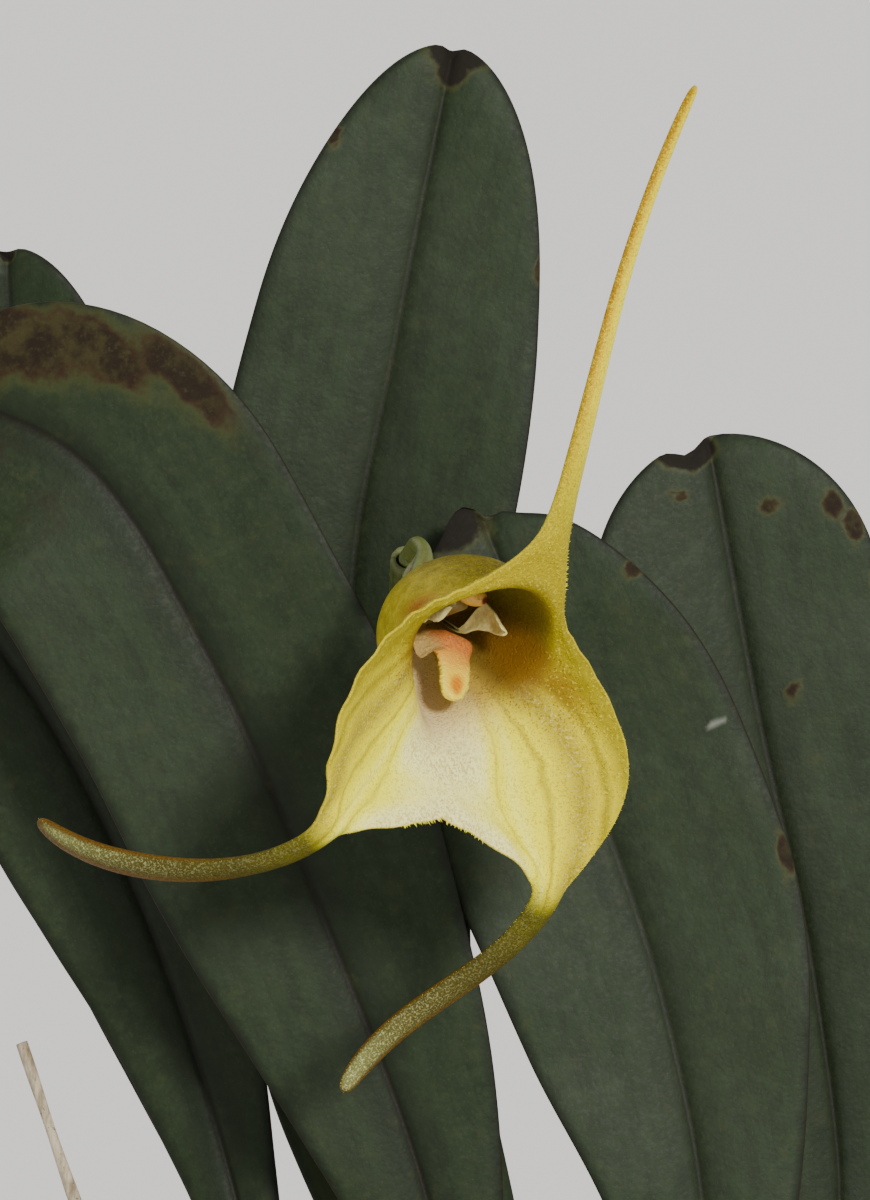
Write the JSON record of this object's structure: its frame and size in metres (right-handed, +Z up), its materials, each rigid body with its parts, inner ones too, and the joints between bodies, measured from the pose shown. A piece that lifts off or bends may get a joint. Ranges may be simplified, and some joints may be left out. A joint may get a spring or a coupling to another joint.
{
  "type": "masdevallia orchid",
  "caption": "Potted masdevallia orchid: a tuft of leathery leaves and a yellow cupped flower with long sepal tails, in a plain clay pot.",
  "frame": {"origin": "middle of the pot's underside, on the surface that the pot stands on", "axes": "+Z up along the pot's axis; -Y towards the viewer of the flower; +X to that viewer's right"},
  "size_m": [0.1117, 0.092, 0.2167],
  "materials": {
    "clay": "unglazed",
    "bark": "rough",
    "rhizome": "matte",
    "leaf": "satin",
    "sheath": "matte",
    "stalk": "satin",
    "straw": "matte",
    "sepal": "satin",
    "petal": "satin",
    "lip": "satin",
    "column": "satin",
    "anther": "satin",
    "ovary": "satin"
  },
  "bodies": {
    "root": {"pot": "clay", "potting_mix": "bark", "rhizome": "rhizome", "leaf_a": "leaf", "leaf_b": "leaf", "leaf_c": "leaf", "leaf_d": "leaf", "leaf_e": "leaf", "leaf_f": "leaf", "leaf_g": "leaf", "leaf_h": "leaf", "leaf_i": "leaf", "leaf_j": "leaf", "leaf_k": "leaf", "sheath_a": "sheath", "sheath_b": "sheath", "sheath_c": "sheath", "sheath_d": "sheath", "sheath_e": "sheath", "sheath_f": "sheath", "sheath_g": "sheath", "sheath_h": "sheath", "sheath_i": "sheath", "sheath_j": "sheath", "sheath_k": "sheath", "peduncle": "stalk", "peduncle_bract": "sheath", "floral_bract": "stalk", "spent_stalk": "straw", "calyx": "sepal", "petal_right": "petal", "petal_left": "petal", "lip": "lip", "column": "column", "anther_cap": "anther", "ovary": "ovary"}
  },
  "joints": []
}
